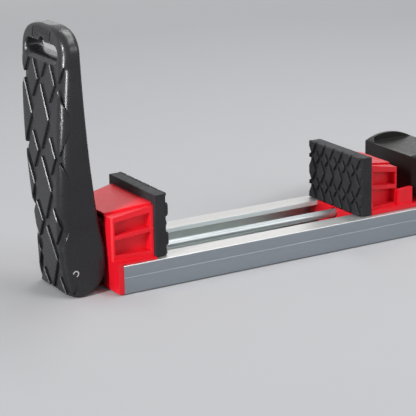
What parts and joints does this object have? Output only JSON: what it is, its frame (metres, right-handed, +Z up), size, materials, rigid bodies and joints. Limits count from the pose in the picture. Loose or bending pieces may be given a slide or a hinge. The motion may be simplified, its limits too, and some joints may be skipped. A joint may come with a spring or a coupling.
{
  "type": "straight-edge clamp",
  "caption": "Rail straight-edge clamp: a lipped channel rail with a fixed jaw and tall hand lever, a sliding jaw with a lock lever, rubber grip pads and a draw rod.",
  "frame": {"origin": "middle of the rail's flat underside, the face that guides a saw", "axes": "+X along the rail away from the hand lever, +Y across the rail, +Z up towards the jaws"},
  "size_m": [0.8665, 0.08, 0.1958],
  "materials": {
    "rail_alloy": "satin anodised",
    "jaw_plastic": "semi-gloss moulded",
    "pad_rubber": "matt",
    "lever_plastic": "satin moulded",
    "cap_plastic": "matt moulded",
    "plate_steel": "ground",
    "rod_steel": "bright drawn",
    "pin_steel": "zinc plated",
    "fastener_steel": "zinc plated",
    "spring_steel": "oiled",
    "bush_bronze": "sintered"
  },
  "bodies": {
    "rail_body": {"rail": "rail_alloy", "fixed_jaw": "jaw_plastic", "fixed_jaw_screws": "fastener_steel", "fixed_grip_pad": "pad_rubber", "wear_plate": "plate_steel", "rod_bush": "bush_bronze", "return_spring": "spring_steel", "end_cap": "cap_plastic", "end_cap_screws": "fastener_steel"},
    "rod_body": {"draw_rod": "rod_steel", "rod_clip": "spring_steel", "rod_eye": "plate_steel", "eye_lock_nut": "fastener_steel"},
    "hand_lever_body": {"hand_lever": "lever_plastic", "lever_pin": "pin_steel"},
    "sliding_jaw_body": {"sliding_jaw": "jaw_plastic", "sliding_grip_pad": "pad_rubber", "guide_bushes": "bush_bronze", "brake_anvil": "plate_steel", "anvil_screws": "fastener_steel"},
    "brake_shoe_body": {"brake_shoe": "plate_steel"},
    "lock_lever_body": {"lock_lever": "lever_plastic", "lock_pin": "pin_steel", "pin_clip": "spring_steel"}
  },
  "joints": [
    {"name": "hand_lever_turn", "type": "hinge", "parent": "rod_body", "child": "hand_lever_body", "pos_m": [-0.441, 0, 0.0172], "axis": [0, -1, 0], "range_deg": [0, 90]},
    {"name": "rod_slide", "type": "slide", "parent": "rail_body", "child": "rod_body", "axis": [1, 0, 0], "range_m": [0, 0.0087], "deforming": ["return_spring"]},
    {"name": "sliding_jaw_slide", "type": "slide", "parent": "rod_body", "child": "sliding_jaw_body", "axis": [1, 0, 0], "range_m": [-0.165, 0.44]},
    {"name": "lock_lever_turn", "type": "hinge", "parent": "sliding_jaw_body", "child": "lock_lever_body", "pos_m": [-0.0803, 0, 0.036], "axis": [0, 1, 0], "range_deg": [0, 65]},
    {"name": "brake_shoe_lift", "type": "slide", "parent": "sliding_jaw_body", "child": "brake_shoe_body", "axis": [0, 0, 1], "range_m": [0, 0.0005]}
  ],
  "couplings": [
    {"joint": "rod_slide", "follows": "hand_lever_turn", "m_per_rad": 0.005538},
    {"joint": "brake_shoe_lift", "follows": "lock_lever_turn", "m_per_rad": 0.00044}
  ]
}
